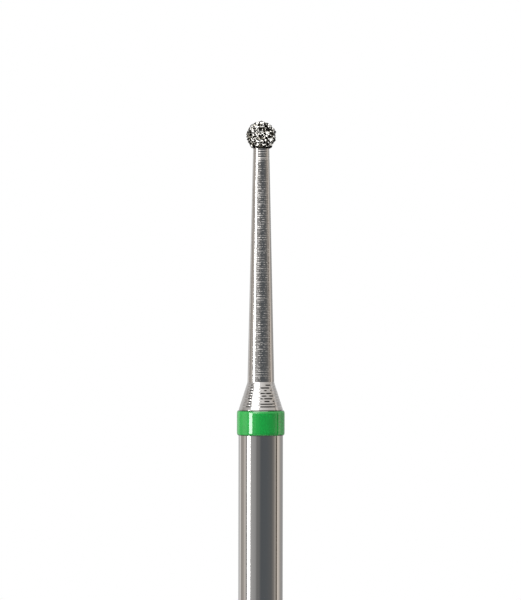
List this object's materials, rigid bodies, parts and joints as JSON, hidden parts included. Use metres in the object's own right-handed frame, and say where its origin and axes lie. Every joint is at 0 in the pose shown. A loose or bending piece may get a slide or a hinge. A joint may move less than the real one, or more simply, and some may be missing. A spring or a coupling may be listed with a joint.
{
  "type": "dental bur",
  "caption": "Round diamond bur on a friction-grip shank: ground shank, lacquer grit ring, flare, long tapered neck and a ball coated with coarse diamond grains.",
  "frame": {"origin": "centre of the flat end face of the shank", "axes": "+Z along the bur's axis of rotation, from the shank's end face to the diamond ball"},
  "size_m": [0.0018, 0.0018, 0.023],
  "materials": {
    "stainless_steel": "ground and polished shank, fine turning marks round the neck and flare",
    "green_lacquer": "glossy baked lacquer",
    "plated_nickel": "electroplated, slightly dull and nodular",
    "diamond_grit": "sharp glassy crystals, grey with a warm cast"
  },
  "bodies": {
    "root": {"steel_blank": "stainless_steel", "grit_class_ring": "green_lacquer", "nickel_bond": "plated_nickel", "diamond_grains": "diamond_grit"}
  },
  "joints": []
}
